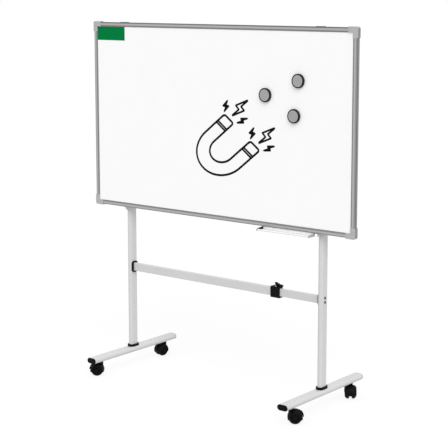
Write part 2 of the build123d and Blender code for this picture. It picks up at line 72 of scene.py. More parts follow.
# The camera stands where the photograph's camera stood, and the room is plain and pale
cameraView = {
    "target": (0.0129951, 0.0, 1.1012848),
    "distance": 6.6987389,
    "yaw": 38.6404,          # degrees to the right of straight on
    "pitch": 8.3488,         # degrees down
    "lens": 104.286,
    "sensor": 36.0,
    "shiftY": -0.0982,
}
studio = {
    "skyStrength": 0.80,
    "sunStrength": 1.41,
    "sunFrom": (0.50, -0.50, 0.70),
    "sunSoftness": 40.0,     # degrees
    "floorSeen": 0.97,       # the floor's tone as the camera sees it
    "floorBounce": 0.65,     # and as it lights the object
    "floorLift": 0.86,       # how far the camera sees the floor as plain white
    "floorHalf": 60.0,
}


def makeCamera():
    yaw, pitch = math.radians(cameraView["yaw"]), math.radians(cameraView["pitch"])
    level = math.cos(pitch)
    forward = Vector((-math.sin(yaw) * level, math.cos(yaw) * level, -math.sin(pitch)))
    lens = bpy.data.cameras.new("photoCamera")
    lens.lens, lens.sensor_width = cameraView["lens"], cameraView["sensor"]
    lens.shift_y = cameraView["shiftY"]
    camera = bpy.data.objects.new("photoCamera", lens)
    camera.location = Vector(cameraView["target"]) - forward * cameraView["distance"]
    camera.rotation_euler = (math.pi / 2 - pitch, 0.0, yaw)
    bpy.context.scene.collection.objects.link(camera)
    bpy.context.scene.camera = camera


class Wire:
    # One node output that Python arithmetic extends with Math nodes
    def __init__(self, tree, socket=None):
        self.tree = tree
        self.socket = socket

    def node(self, kind, settings=None, inputs=None, output=0):
        made = self.tree.nodes.new(kind)
        for name, value in (settings or {}).items():
            setattr(made, name, value)
        for key, value in (inputs or {}).items():
            if isinstance(value, Wire):
                self.tree.links.new(value.socket, made.inputs[key])
            else:
                made.inputs[key].default_value = value
        return Wire(self.tree, made.outputs[output])

    def maths(self, operation, *values):
        return self.node("ShaderNodeMath", {"operation": operation}, dict(enumerate(values)))

    def __add__(self, other):
        return self.maths("ADD", self, other)

    def __radd__(self, other):
        return self.maths("ADD", other, self)

    def __sub__(self, other):
        return self.maths("SUBTRACT", self, other)

    def __rsub__(self, other):
        return self.maths("SUBTRACT", other, self)

    def __mul__(self, other):
        return self.maths("MULTIPLY", self, other)

    def __rmul__(self, other):
        return self.maths("MULTIPLY", other, self)

    def least(self, other):
        return self.maths("MINIMUM", self, other)

    def most(self, other):
        return self.maths("MAXIMUM", self, other)

    def size(self):
        return self.maths("ABSOLUTE", self)

    def step(self, low, high, fromValue=0.0, toValue=1.0):
        settings = {"interpolation_type": "SMOOTHSTEP"}
        inputs = {0: self, 1: low, 2: high, 3: fromValue, 4: toValue}
        return self.node("ShaderNodeMapRange", settings, inputs)

    def axis(self, name):
        return self.node("ShaderNodeSeparateXYZ", None, {0: self}, output="XYZ".index(name))

    def stretched(self, *scale):
        return self.node("ShaderNodeMapping", None, {"Vector": self, "Scale": scale})

    def noise(self, scale, detail=3.0, roughness=0.5):
        inputs = {"Vector": self, "Scale": scale, "Detail": detail, "Roughness": roughness}
        return self.node("ShaderNodeTexNoise", None, inputs)

    def mixed(self, first, second):
        # self is the factor; sockets 6 and 7 are the two colours, output 2 the result
        inputs = {0: self, 6: colour(first), 7: colour(second)}
        return self.node("ShaderNodeMix", {"data_type": "RGBA"}, inputs, output=2)


def colour(value):
    # A grey from one number and a colour from three; a wire stays as it is
    if isinstance(value, Wire):
        return value
    return (*value, 1.0) if isinstance(value, tuple) else (value, value, value, 1.0)


def bump(height, strength, distance):
    inputs = {"Height": height, "Strength": strength, "Distance": distance}
    return height.node("ShaderNodeBump", None, inputs)


def emptyTree(owner):
    # A wire to build the owner's node tree with, from nothing
    owner.use_nodes = True
    owner.node_tree.nodes.clear()
    return Wire(owner.node_tree)


def closeShader(shader, kind):
    shader.tree.links.new(shader.socket, shader.tree.nodes.new(kind).inputs["Surface"])


def seenDirectly(start):
    # 1 for a ray from the camera, or from a glossy or clear surface
    names = ("Is Camera Ray", "Is Glossy Ray", "Is Transmission Ray")
    camera, glossy, clear = [start.node("ShaderNodeLightPath", output=name) for name in names]
    return camera.most(glossy).most(clear)


def makeFloor():
    half = studio["floorHalf"]
    corners = [(-half, -half, 0), (half, -half, 0), (half, half, 0), (-half, half, 0)]
    mesh = bpy.data.meshes.new("floor")
    mesh.from_pydata(corners, [], [(0, 1, 2, 3)])
    floor = bpy.data.objects.new("floor", mesh)
    bpy.context.scene.collection.objects.link(floor)
    material = bpy.data.materials.new("paleFloor")
    start = emptyTree(material)
    seen = seenDirectly(start)
    tone = seen.mixed(studio["floorBounce"], studio["floorSeen"])
    paint = start.node("ShaderNodeBsdfDiffuse", None, {"Color": tone})
    white = start.node("ShaderNodeEmission", None, {"Strength": 1.0})
    mixed = start.node("ShaderNodeMixShader", None, {0: seen * studio["floorLift"], 1: paint, 2: white})
    closeShader(mixed, "ShaderNodeOutputMaterial")
    mesh.materials.append(material)


def makeLight():
    world = bpy.data.worlds.new("paleRoom")
    bpy.context.scene.world = world
    start = emptyTree(world)
    skyInputs = {"Color": colour(1.0), "Strength": studio["skyStrength"]}
    sky = start.node("ShaderNodeBackground", None, skyInputs)
    white = start.node("ShaderNodeBackground", None, {"Color": colour(1.0), "Strength": 1.0})
    mixed = start.node("ShaderNodeMixShader", None, {0: seenDirectly(start), 1: sky, 2: white})
    closeShader(mixed, "ShaderNodeOutputWorld")
    lamp = bpy.data.lights.new("softSun", "SUN")
    lamp.energy, lamp.angle = studio["sunStrength"], math.radians(studio["sunSoftness"])
    sun = bpy.data.objects.new("softSun", lamp)
    sun.rotation_euler = Vector(studio["sunFrom"]).to_track_quat("Z", "Y").to_euler()
    bpy.context.scene.collection.objects.link(sun)


makeCamera()
makeFloor()
makeLight()
bpy.context.scene.view_settings.view_transform = "Standard"
print("camera and room made")


# Finishes: each tone is a grey, or red, green and blue
tones = {
    "powder": (0.612, 0.637),
    "scuff": 0.46,
    "railFace": 0.425,
    "railGrooveShade": (0.25, 0.13),    # painted shade of the outer groove: in the light, and on top, where it lies in shade
    # painted shade along the rails' inner edge
    "railBevelShade": 0.205,
    "railStreak": 0.6,
    "enamel": ((0.972, 0.966, 0.970), 0.93),
    "mill": (0.48, 0.58),
    "core": ((0.30, 0.19, 0.10), (0.46, 0.32, 0.19)),
    "cap": (0.43, 0.455),
    # painted shade on the corner caps' side walls
    "capWall": 0.24,
    "black": (0.0018, 0.0055),
    "nylon": (0.0024, 0.0085),
    "tray": (0.965, 0.6),          # the tray, and the painted shade along its low front edge, a grey its dust takes too
    "magnet": (0.337, 0.374),
    "zinc": ((0.50, 0.51, 0.53), (0.66, 0.67, 0.68)),
    "darkZinc": (0.06, 0.11),
    "strapZinc": (0.20, 0.27),
    "green": ((0.0, 0.188, 0.044), (0.0, 0.206, 0.050)),
    "ink": (0.004, 0.014),
}
railBands = {                      # in from the frame's outer edge, each from its start to its end; the groove and bevel bands are painted shade
    "groove": (5.0 * mm, 6.6 * mm),
    "bevel": (15.4 * mm, 17.0 * mm),
    "upright": (26.0 * mm, 26.2 * mm),
    "shade": (8.0 * mm, 6.6 * mm),
}
wallBands = {                      # in from the frame's side, the caps' front and the tray's underside; they bound painted shade on the caps' side walls and the tray's low front edge
    "capSide": (2.5 * mm, 3.5 * mm),
    "capDepth": (1.2 * mm, 2.2 * mm),
    "trayFront": (3.0 * mm, 4.6 * mm),
}


def powderCoat(place):
    patches = place.noise(3.0, 2.0)
    grain = place.noise(900.0, 2.0)
    scuffs = place.stretched(1.0, 1.0, 0.2).noise(55.0, 6.0, 0.7).step(0.66, 0.78)
    tone = patches.step(0.3, 0.7).mixed(*tones["powder"])
    return {
        "Base Color": (scuffs * 0.25).mixed(tone, tones["scuff"]),
        "Roughness": patches * 0.12 + 0.36,
        "Normal": bump(grain, 0.12, 0.0003),
    }


def anodised(place):
    x, z = place.axis("X"), place.axis("Z")
    across = (x - boardLeft).least(boardRight - x)
    depth = across.least((z - boardBase).least(boardTop - z))
    # Painted shade: the outer groove band is darker than the rail's face, and darker still on top of the
    # top rail
    groove = 1.0 - depth.step(*railBands["groove"])
    # Painted shade: the inner band, beside the writing surface, is darker than the rail's face
    bevel = depth.step(*railBands["bevel"])
    upright = 1.0 - across.step(*railBands["upright"])
    level = place.stretched(2.0, 900.0, 900.0).noise(1.0, 3.0)
    aloft = place.stretched(900.0, 900.0, 2.0).noise(1.0, 3.0)
    streaks = upright * aloft + (1.0 - upright) * level
    shaded = z.step(*(boardTop - drop for drop in railBands["shade"]))
    grooveTone = shaded.mixed(*tones["railGrooveShade"])
    band = bevel.mixed(groove.mixed(tones["railFace"], grooveTone), tones["railBevelShade"])
    return {
        "Base Color": streaks.step(0.3, 0.7, 0.0, 0.1).mixed(band, tones["railStreak"]),
        "Roughness": streaks * 0.1 + 0.32,
        "Normal": bump(streaks, 0.06, 0.0002),
    }


def enamel(place):
    haze = place.stretched(1.0, 1.0, 0.6).noise(3.5, 5.0, 0.6)
    wiped = place.stretched(8.0, 1.0, 1.6).noise(2.0, 5.0, 0.65)
    peel = place.noise(260.0, 1.0)
    smear = (haze.step(0.45, 0.75) * wiped.step(0.4, 0.8)) * 0.5
    return {
        "Base Color": smear.mixed(*tones["enamel"]),
        "Roughness": wiped * 0.12 + 0.16,
        "Normal": bump(peel, 0.05, 0.0002),
    }


def millSheet(place):
    streaks = place.stretched(1.5, 400.0, 400.0).noise(1.0, 4.0)
    blotches = place.noise(5.0, 4.0)
    return {
        "Base Color": (streaks * 0.6 + blotches * 0.4).step(0.3, 0.7).mixed(*tones["mill"]),
        "Roughness": blotches * 0.15 + 0.38,
        "Normal": bump(streaks, 0.05, 0.0002),
    }


def coreBoard(place):
    fibres = place.stretched(600.0, 600.0, 2000.0).noise(1.0, 4.0)
    return {
        "Base Color": fibres.step(0.3, 0.7).mixed(*tones["core"]),
        "Normal": bump(fibres, 0.3, 0.0005),
    }


def greyPlastic(place):
    grain = place.noise(1400.0, 2.0)
    patches = place.noise(30.0, 3.0)
    # Painted shade: the caps' side walls, out past the frame's side and back from the caps' front, are
    # darker
    sides = place.axis("X").size().step(*(boardRight + reach for reach in wallBands["capSide"]))
    shadedWalls = place.axis("Y").step(*(capFront + reach for reach in wallBands["capDepth"])) * sides
    tone = patches.step(0.35, 0.65).mixed(*tones["cap"])
    return {
        "Base Color": shadedWalls.mixed(tone, tones["capWall"]),
        "Roughness": patches * 0.1 + 0.4,
        "Normal": bump(grain, 0.15, 0.0002),
    }


def blackPlastic(place):
    grain = place.noise(1600.0, 2.0)
    dust = place.noise(60.0, 6.0, 0.7)
    return {
        "Base Color": dust.step(0.5, 0.9).mixed(*tones["black"]),
        "Roughness": dust * 0.2 + 0.4,
        "Normal": bump(grain, 0.2, 0.0002),
    }


def wheelNylon(place):
    grain = place.noise(900.0, 2.0)
    dust = place.noise(90.0, 6.0, 0.75)
    return {
        "Base Color": dust.step(0.5, 0.85).mixed(*tones["nylon"]),
        "Roughness": dust * 0.2 + 0.45,
        "Normal": bump(grain, 0.2, 0.0003),
    }


def whiteTray(place):
    body, edge = tones["tray"]
    streaks = place.stretched(2.0, 700.0, 700.0).noise(1.0, 3.0)
    dust = place.noise(120.0, 6.0, 0.7).step(0.55, 0.8)
    # Painted shade: the tray is darker along its low front edge; its dust is flecked with the same grey
    front = 1.0 - place.axis("Z").step(*(trayBase + reach for reach in wallBands["trayFront"]))
    return {
        "Base Color": (dust * 0.12).mixed((front * 0.4).mixed(body, edge), edge),
        "Roughness": streaks * 0.12 + 0.34,
        "Normal": bump(streaks, 0.05, 0.0002),
    }


def magnetFace(place):
    swirl = place.noise(45.0, 4.0)
    grain = place.noise(1500.0, 2.0)
    return {
        "Base Color": swirl.step(0.3, 0.7).mixed(*tones["magnet"]),
        "Roughness": swirl * 0.1 + 0.38,
        "Normal": bump(grain, 0.15, 0.0002),
    }


def spangled(tone, scale, detail, smoothest, relief):
    # Zinc plate: tone names its two greys
    def build(place):
        spangle = place.noise(scale, detail)
        return {
            "Base Color": spangle.step(0.3, 0.7).mixed(*tones[tone]),
            "Roughness": spangle * 0.15 + smoothest,
            "Normal": bump(spangle, relief, 0.0002),
        }
    return build


def greenPrint(place):
    mottle = place.noise(80.0, 4.0)
    return {
        "Base Color": mottle.step(0.3, 0.7).mixed(*tones["green"]),
        "Roughness": mottle * 0.1 + 0.3,
        "Normal": bump(mottle, 0.05, 0.0001),
    }


def markerInk(place):
    streaks = place.noise(350.0, 4.0, 0.6)
    return {
        "Base Color": streaks.step(0.5, 0.8).mixed(*tones["ink"]),
        "Roughness": streaks * 0.2 + 0.4,
        "Normal": bump(streaks, 0.1, 0.0001),
    }


def finish(name, build, **fixed):
    # A Principled material: build(place) returns what varies, fixed are the shader's own sockets
    material = bpy.data.materials.new(name)
    material.use_nodes = True
    tree = material.node_tree
    shader = next(n for n in tree.nodes if n.type == "BSDF_PRINCIPLED")
    for socket, value in fixed.items():
        shader.inputs[socket.replace("_", " ")].default_value = value
    place = Wire(tree).node("ShaderNodeTexCoord", output="Object")
    for socket, value in build(place).items():
        tree.links.new(value.socket, shader.inputs[socket])
    return material


finishes = {
    "light_powder_coat": finish("powderCoat", powderCoat, Specular_IOR_Level=0.35),
    "anodised_aluminium": finish("anodisedRail", anodised, Metallic=0.75),
    "white_enamel": finish("whiteEnamel", enamel, Specular_IOR_Level=0.4),
    "backing_aluminium": finish("millSheet", millSheet, Metallic=0.8),
    "core_board": finish("coreBoard", coreBoard, Roughness=0.9),
    "grey_plastic": finish("greyPlastic", greyPlastic, Specular_IOR_Level=0.35),
    "black_plastic": finish("blackPlastic", blackPlastic, Specular_IOR_Level=0.1),
    "wheel_nylon": finish("wheelNylon", wheelNylon, Specular_IOR_Level=0.1),
    "white_aluminium": finish("whiteTray", whiteTray, Specular_IOR_Level=0.4),
    "magnet_grey": finish("magnetFace", magnetFace, Specular_IOR_Level=0.35),
    "zinc_plated_steel": finish("zincPlate", spangled("zinc", 220.0, 3.0, 0.26, 0.08), Metallic=0.9),
}
greenFinish = finish("greenPrint", greenPrint, Specular_IOR_Level=0.02)
inkFinish = finish("markerInk", markerInk, Specular_IOR_Level=0.06)
boltFinish = finish("darkZinc", spangled("darkZinc", 260.0, 3.0, 0.3, 0.08), Metallic=0.7)
strapFinish = finish("strapZinc", spangled("strapZinc", 160.0, 4.0, 0.38, 0.06), Metallic=0.6)
rimFinish = finish("magnetRim", blackPlastic, Specular_IOR_Level=0.25)
# The pale ring round each magnet's face, a painted highlight
faceHighlightFinish = finish("magnetEdge", greyPlastic, Specular_IOR_Level=0.35)
for node in frame["nodes"].values():
    for slot in node.material_slots:
        slot.material = finishes[slot.material.name.split(".")[0]]
print("materials made:", len(bpy.data.materials))


# What all the pieces share
edgeRules = {
    "merged": 0.002 * mm,    # vertices this close become one
    "flat": 0.6,             # degrees; flatter edges between faces are dissolved
    "smooth": 32.0,          # degrees; flatter edges are shaded smooth
    "rounded": 34.0,         # degrees; sharper edges are rounded
    "lesser": 0.25,          # the share of the width that a corner gets where it isn't broad
}


def newPiece(name, mesh, materials):
    piece = bpy.data.objects.new(name, mesh)
    bpy.context.scene.collection.objects.link(piece)
    mesh.materials.clear()
    for material in materials:
        mesh.materials.append(material)
    return piece


def bodyOf(node):
    return frame["nodes"][node]["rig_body"]


def settle(piece, body, slotName, *nodes):
    # The piece rides on its body, and stands for its CAD nodes
    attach(piece, body)
    if nodes:
        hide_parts(*nodes)


def smoothByAngle(mesh, angle=edgeRules["smooth"]):
    shape = bmesh.new()
    shape.from_mesh(mesh)
    for face in shape.faces:
        face.smooth = True
    for edge in shape.edges:
        edge.smooth = len(edge.link_faces) == 2 and edge.calc_face_angle() < math.radians(angle)
    shape.to_mesh(mesh)
    shape.free()


def outward(mesh):
    shape = bmesh.new()
    shape.from_mesh(mesh)
    bmesh.ops.recalc_face_normals(shape, faces=shape.faces)
    shape.to_mesh(mesh)
    shape.free()


def joined(name, meshes):
    shape = bmesh.new()
    for mesh in meshes:
        shape.from_mesh(mesh)
    whole = bpy.data.meshes.new(name)
    shape.to_mesh(whole)
    shape.free()
    return whole


def evaluatedMesh(piece):
    # What the piece's modifiers make of it, as a plain mesh
    bpy.context.view_layer.update()
    view = bpy.context.evaluated_depsgraph_get()
    return bpy.data.meshes.new_from_object(piece.evaluated_get(view))


def standOn(origin, outwards):
    # Places local +Z along outwards at origin
    return Matrix.Translation(origin) @ Vector(outwards).to_track_quat("Z", "Y").to_matrix().to_4x4()


def slab(name, outline, front, back):
    # A flat closed solid over an outline of x and z, between two depths
    count = len(outline)
    corners = [(x, depth, z) for depth in (front, back) for x, z in outline]
    faces = [list(range(count)), list(range(2 * count - 1, count - 1, -1))]
    faces += [[(k + 1) % count, k, k + count, (k + 1) % count + count] for k in range(count)]
    mesh = bpy.data.meshes.new(name)
    mesh.from_pydata(corners, [], faces)
    return mesh


def ringStack(name, rings, count):
    # A closed solid from rings (radius, height, shape); a zero radius is a pole
    shape = bmesh.new()
    rows = []
    for radius, height, *outline in rings:
        if radius == 0:
            rows.append([shape.verts.new((0, 0, height))])
            continue
        row = []
        for k in range(count):
            turn = 2 * math.pi * k / count
            reach = radius * (outline[0](turn) if outline else 1.0)
            row.append(shape.verts.new((reach * math.cos(turn), reach * math.sin(turn), height)))
        rows.append(row)
    for lower, upper in zip(rows, rows[1:]):
        for k in range(count):
            around = (lower[k % len(lower)], lower[(k + 1) % len(lower)],
                      upper[(k + 1) % len(upper)], upper[k % len(upper)])
            shape.faces.new([v for n, v in enumerate(around) if v not in around[:n]])
    bmesh.ops.recalc_face_normals(shape, faces=shape.faces)
    mesh = bpy.data.meshes.new(name)
    shape.to_mesh(mesh)
    shape.free()
    return mesh


def softened(node, name, material, width, segments=2, keep=None, broad=None, reshape=None):
    # A copy of a CAD node with its doubles merged and its edges rounded. keep(place) picks what stays,
    # reshape(shape) changes it, and broad(place) marks the corners that get the full width
    shape = bmesh.new()
    shape.from_mesh(frame["nodes"][node].data)
    bmesh.ops.remove_doubles(shape, verts=shape.verts, dist=edgeRules["merged"])
    flat = math.radians(edgeRules["flat"])
    bmesh.ops.dissolve_limit(shape, angle_limit=flat, verts=shape.verts, edges=shape.edges)
    if keep:
        bmesh.ops.delete(shape, geom=[v for v in shape.verts if not keep(v.co)], context="VERTS")
    if reshape:
        reshape(shape)
    order = {v: k for k, v in enumerate(shape.verts)}
    corners = [tuple(v.co) for v in shape.verts]
    faces = [[order[v] for v in f.verts] for f in shape.faces]
    shape.free()
    mesh = bpy.data.meshes.new(name)
    mesh.from_pydata(corners, [], faces)
    smoothByAngle(mesh, edgeRules["rounded"])
    if broad:
        weights = mesh.attributes.new("bevel_weight_edge", "FLOAT", "EDGE")
        for edge in mesh.edges:
            if edge.use_edge_sharp:
                wide = all(broad(mesh.vertices[v].co) for v in edge.vertices)
                weights.data[edge.index].value = 1.0 if wide else edgeRules["lesser"]
    piece = newPiece(name, mesh, [material])
    rounding = piece.modifiers.new("rounding", "BEVEL")
    rounding.width, rounding.segments = width, segments
    rounding.limit_method = "WEIGHT" if broad else "ANGLE"
    rounding.angle_limit = math.radians(edgeRules["rounded"])
    rounding.harden_normals = True
    rounding.use_clamp_overlap = True
    result = evaluatedMesh(piece)
    piece.modifiers.clear()
    piece.data = result
    return piece


# Geometry node trees
def geometryTree(name, wanted):
    # wanted maps an input's name to its socket type
    tree = bpy.data.node_groups.new(name, "GeometryNodeTree")
    sides = tree.interface
    sides.new_socket("Geometry", in_out="INPUT", socket_type="NodeSocketGeometry")
    for label, kind in wanted.items():
        sides.new_socket(label, in_out="INPUT", socket_type="NodeSocket" + kind)
    sides.new_socket("Geometry", in_out="OUTPUT", socket_type="NodeSocketGeometry")
    entry = tree.nodes.new("NodeGroupInput")
    return Wire(tree), {s.name: Wire(tree, s) for s in entry.outputs if s.name}


def closeTree(shape, material):
    plain = shape.node("GeometryNodeRealizeInstances", None, {0: shape})
    painted = shape.node("GeometryNodeSetMaterial", None, {"Geometry": plain, "Material": material})
    out = shape.tree.nodes.new("NodeGroupOutput")
    shape.tree.links.new(painted.socket, out.inputs[0])
    return shape.tree


def grown(source, tree, values):
    # What the tree makes of a mesh or a curve, with its named inputs set, as a plain mesh
    holder = bpy.data.objects.new(tree.name, source)
    bpy.context.scene.collection.objects.link(holder)
    growing = holder.modifiers.new(tree.name, "NODES")
    growing.node_group = tree
    for item in tree.interface.items_tree:
        if item.in_out == "INPUT" and item.name in values:
            growing[item.identifier] = values[item.name]
    mesh = evaluatedMesh(holder)
    bpy.data.objects.remove(holder)
    return mesh


def copiesAlong(points, one, towards, axis):
    # One copy on each point, with the copy's axis towards a direction
    turned = points.node("FunctionNodeAlignRotationToVector", {"axis": axis}, {"Vector": towards})
    inputs = {"Points": points, "Instance": one, "Rotation": turned}
    return points.node("GeometryNodeInstanceOnPoints", None, inputs)


def strokeTree():
    # A pen stroke of even width along a curve
    wanted = {"Width": "Float", "Thickness": "Float", "Corner": "Float", "Material": "Material"}
    start, given = geometryTree("markerStroke", wanted)
    bend = {"Curve": given["Geometry"], "Count": 4, "Radius": given["Corner"], "Limit Radius": True}
    eased = start.node("GeometryNodeFilletCurve", {"mode": "POLY"}, bend)
    flat = start.node("GeometryNodeSetCurveNormal", {"mode": "Z_UP"}, {0: eased})
    tip = {"Width": given["Width"], "Height": given["Thickness"]}
    nib = start.node("GeometryNodeCurvePrimitiveQuadrilateral", None, tip)
    sweep = {"Curve": flat, "Profile Curve": nib, "Fill Caps": True}
    return closeTree(start.node("GeometryNodeCurveToMesh", None, sweep), given["Material"])


def ribTree():
    # Ribs round a wheel's disc, between its hub and its rim
    lengths = {name: "Float" for name in ("Inner", "Outer", "Thickness", "Low", "High")}
    start, given = geometryTree("wheelRibs", {"Count": "Int", **lengths, "Material": "Material"})
    middle = (given["Inner"] + given["Outer"]) * 0.5
    length = given["Outer"] - given["Inner"]
    ring = start.node("GeometryNodeMeshCircle", None, {"Vertices": given["Count"], "Radius": middle})
    sizes = {0: length, 1: given["Thickness"], 2: given["High"] - given["Low"]}
    size = start.node("ShaderNodeCombineXYZ", None, sizes)
    rib = start.node("GeometryNodeMeshCube", None, {"Size": size})
    lift = start.node("ShaderNodeCombineXYZ", None, {2: (given["High"] + given["Low"]) * 0.5})
    raised = start.node("GeometryNodeTransform", None, {"Geometry": rib, "Translation": lift})
    where = start.node("GeometryNodeInputPosition")
    return closeTree(copiesAlong(ring, raised, where, "X"), given["Material"])


def ridgeTree():
    # Ridges along a curved foot pedal's tread, each turned about the wheel's axle
    lengths = {name: "Float" for name in ("Reach", "Start", "Step", "Width", "Thickness", "Height")}
    start, given = geometryTree("treadRidges", {"Count": "Int", **lengths, "Material": "Material"})
    row = start.node("GeometryNodeMeshLine", None, {"Count": given["Count"]})
    turn = start.node("GeometryNodeInputIndex") * given["Step"] + given["Start"]
    aside, aloft = turn.maths("COSINE", turn), turn.maths("SINE", turn)
    place = start.node("ShaderNodeCombineXYZ", None, {0: aside * given["Reach"], 1: aloft * given["Reach"]})
    bent = start.node("GeometryNodeSetPosition", None, {"Geometry": row, "Position": place})
    sizes = {0: given["Height"], 1: given["Thickness"], 2: given["Width"]}
    size = start.node("ShaderNodeCombineXYZ", None, sizes)
    ridge = start.node("GeometryNodeMeshCube", None, {"Size": size})
    return closeTree(copiesAlong(bent, ridge, place, "X"), given["Material"])


def boltTree():
    # A bolt on each point, with its head towards the point's own direction
    start, given = geometryTree("boltSet", {"Bolt": "Object", "Material": "Material"})
    bolt = start.node("GeometryNodeObjectInfo", None, {"Object": given["Bolt"]}, output="Geometry")
    named = {"Name": "outwards"}
    outwards = start.node("GeometryNodeInputNamedAttribute", {"data_type": "FLOAT_VECTOR"}, named)
    return closeTree(copiesAlong(given["Geometry"], bolt, outwards, "Z"), given["Material"])


markerStroke, wheelRibs, treadRidges, boltSet = strokeTree(), ribTree(), ridgeTree(), boltTree()
print("geometry node trees made")


# The green corner of the writing surface
greenPatch = {
    "inset": 24 * mm,        # from the frame's outer edges
    "width": 199 * mm,
    "height": 73 * mm,
    "thickness": 0.15 * mm,
    "sunk": 0.1 * mm,        # into the surface
    "corner": 1.5 * mm,
    "cornerSteps": 4,
}


def makeGreenPatch():
    left, top = boardLeft + greenPatch["inset"], boardTop - greenPatch["inset"]
    right, low = left + greenPatch["width"], top - greenPatch["height"]
    radius, steps = greenPatch["corner"], greenPatch["cornerSteps"]
    middles = [(right - radius, top - radius), (left + radius, top - radius),
               (left + radius, low + radius), (right - radius, low + radius)]
    outline = []
    for quarter, (x, z) in enumerate(middles):
        for k in range(steps + 1):
            turn = math.pi / 2 * (quarter + k / steps)
            outline.append((x + radius * math.cos(turn), z + radius * math.sin(turn)))
    front, back = sheetFront - greenPatch["thickness"], sheetFront + greenPatch["sunk"]
    mesh = slab("green_corner", outline, front, back)
    outward(mesh)
    settle(newPiece("green_corner", mesh, [greenFinish]), "board", None)


makeGreenPatch()


# The marker drawing: a horseshoe magnet that draws in two sets of bolts
drawing = {
    "place": (40.25 * mm, -134.24 * mm),    # of the bend, from the board's middle
    "right": (6.5356 * mm, 0.4262 * mm),    # one unit to the right, and one up
    "up": (0.4170 * mm, 5.0530 * mm),
    "line": 11.5 * mm,
    "bandLine": 10.6 * mm,
    "boltLine": 10.4 * mm,
    "boltEdge": 7.0 * mm,
    "thickness": 0.3 * mm,
    "above": 0.03 * mm,      # from the surface to the middle of a line's thickness
    "outer": 25.8,           # units from here on
    "inner": 12.5,
    "arm": 25.7,
    "aside": -0.5,
    "bands": (14.95, 17.0),
    "corner": 2.2,
    "boltCorner": 0.3,
}
boltShape = ((1, 0), (-0.1, -0.45), (-0.15, 0.03), (-1, 0), (0.1, 0.45), (0.15, -0.03))
# Each bolt's middle, tilt, half length and slimness
smallBolts = [((1.1, 44.5), 74.5, 6.7, 1.0), ((18.15, 29.5), 20.5, 6.8, 0.92)]
bigBolt = ((15.1, 42.2), 45.0, 11.4, 0.96)
boltSets = [(0.0, 0.0), (27.45, -27.6)]
arcSteps = {"outer": 32, "inner": 24, "tip": 4}
inkFront = sheetFront - drawing["above"]


def onBoard(u, v):
    # From the drawing's units to the board's face
    (x, z), right, up = drawing["place"], drawing["right"], drawing["up"]
    return x + u * right[0] + v * up[0], (boardBase + boardTop) / 2 + z + u * right[1] + v * up[1]


def onMagnet(reach, side):
    # The horseshoe opens towards the upper right: reach runs up its arms, side across them
    along, aside = Vector((1, 1)).normalized(), Vector((-1, 1)).normalized()
    return tuple(along * reach + aside * (side + drawing["aside"]))


def boltOutline(step, centre, tilt, half, slim):
    cosine, sine = math.cos(math.radians(tilt)), math.sin(math.radians(tilt))
    points = []
    for a, b in boltShape:
        u, v = a * cosine + b * slim * sine, a * sine - b * slim * cosine
        points.append((centre[0] + step[0] + half * u, centre[1] + step[1] + half * v))
    return points


def arc(radius, steps, first, last):
    # Round the magnet's bend, between two angles given in half turns
    turns = [math.pi * (first + (last - first) * k / steps) for k in range(steps + 1)]
    return [onMagnet(-radius * math.sin(turn), radius * math.cos(turn)) for turn in turns]


def roundTip(sideFrom, sideTo):
    # The end of an arm, with its two corners rounded
    ease, steps = drawing["corner"], arcSteps["tip"]
    way, base = 1 if sideTo > sideFrom else -1, drawing["arm"] - ease
    points = []
    for side, turning in ((sideFrom, way), (sideTo, -way)):
        for k in range(steps + 1):
            turn = math.pi / 2 * (k if side == sideFrom else steps - k) / steps
            inwards = turning * ease * (1 - math.cos(turn))
            points.append(onMagnet(base + ease * math.sin(turn), side + inwards))
    return points


def horseshoeOutline():
    outer, inner = drawing["outer"], drawing["inner"]
    points = arc(outer, arcSteps["outer"], 0, 1) + roundTip(-outer, -inner)
    return points + arc(inner, arcSteps["inner"], 1, 0) + roundTip(inner, outer)


def strokeMesh(points, closed, corner, width):
    curve = bpy.data.curves.new("stroke", "CURVE")
    curve.dimensions = "3D"
    spline = curve.splines.new("POLY")
    spline.points.add(len(points) - 1)
    for point, (u, v) in zip(spline.points, points):
        point.co = (*onBoard(u, v), 0.0, 1.0)
    spline.use_cyclic_u = closed
    values = {"Width": width, "Thickness": drawing["thickness"], "Corner": corner * drawing["up"][1],
              "Material": inkFinish}
    mesh = grown(curve, markerStroke, values)
    mesh.transform(Matrix.Translation((0, inkFront, 0)) @ Matrix.Rotation(math.pi / 2, 4, "X"))
    return mesh


def makeDrawing():
    half, eased = drawing["thickness"] / 2, drawing["boltCorner"]
    meshes = [strokeMesh(horseshoeOutline(), True, 0.0, drawing["line"])]
    for reach in drawing["bands"]:
        for side in (1, -1):
            band = [onMagnet(reach, side * drawing[end]) for end in ("inner", "outer")]
            meshes.append(strokeMesh(band, False, 0.0, drawing["bandLine"]))
    for step in boltSets:
        for small in smallBolts:
            outline = boltOutline(step, *small)
            inside = [onBoard(u, v) for u, v in outline]
            meshes.append(slab("bolt", inside, inkFront - half, inkFront + half))
            meshes.append(strokeMesh(outline, True, eased, drawing["boltEdge"]))
        meshes.append(strokeMesh(boltOutline(step, *bigBolt), True, eased, drawing["boltLine"]))
    whole = joined("marker_drawing", meshes)
    outward(whole)
    settle(newPiece("marker_drawing", whole, [inkFinish]), "board", None)


makeDrawing()
print("writing surface drawn on")


# Round magnets: a grey face in a dark rim, with a painted highlight round the face's edge
magnet = {
    "rim": 6.4 * mm,
    "recess": 0.5 * mm,
    "edge": 1.6 * mm,
    "edgeTurns": (0.4, 0.8, 1.2),            # radians round the front edge
    "back": ((1.0, 0.0), (0.3, 0.3), (0.0, 1.0)),    # millimetres in from the side and up from the back
    "lip": 0.4 * mm,         # across each side of the step down to the face
    # the painted highlight's ring round the face, and a second ring further in
    "faceHighlight": (1.6 * mm, 2.4 * mm),
    "sides": 72,
}


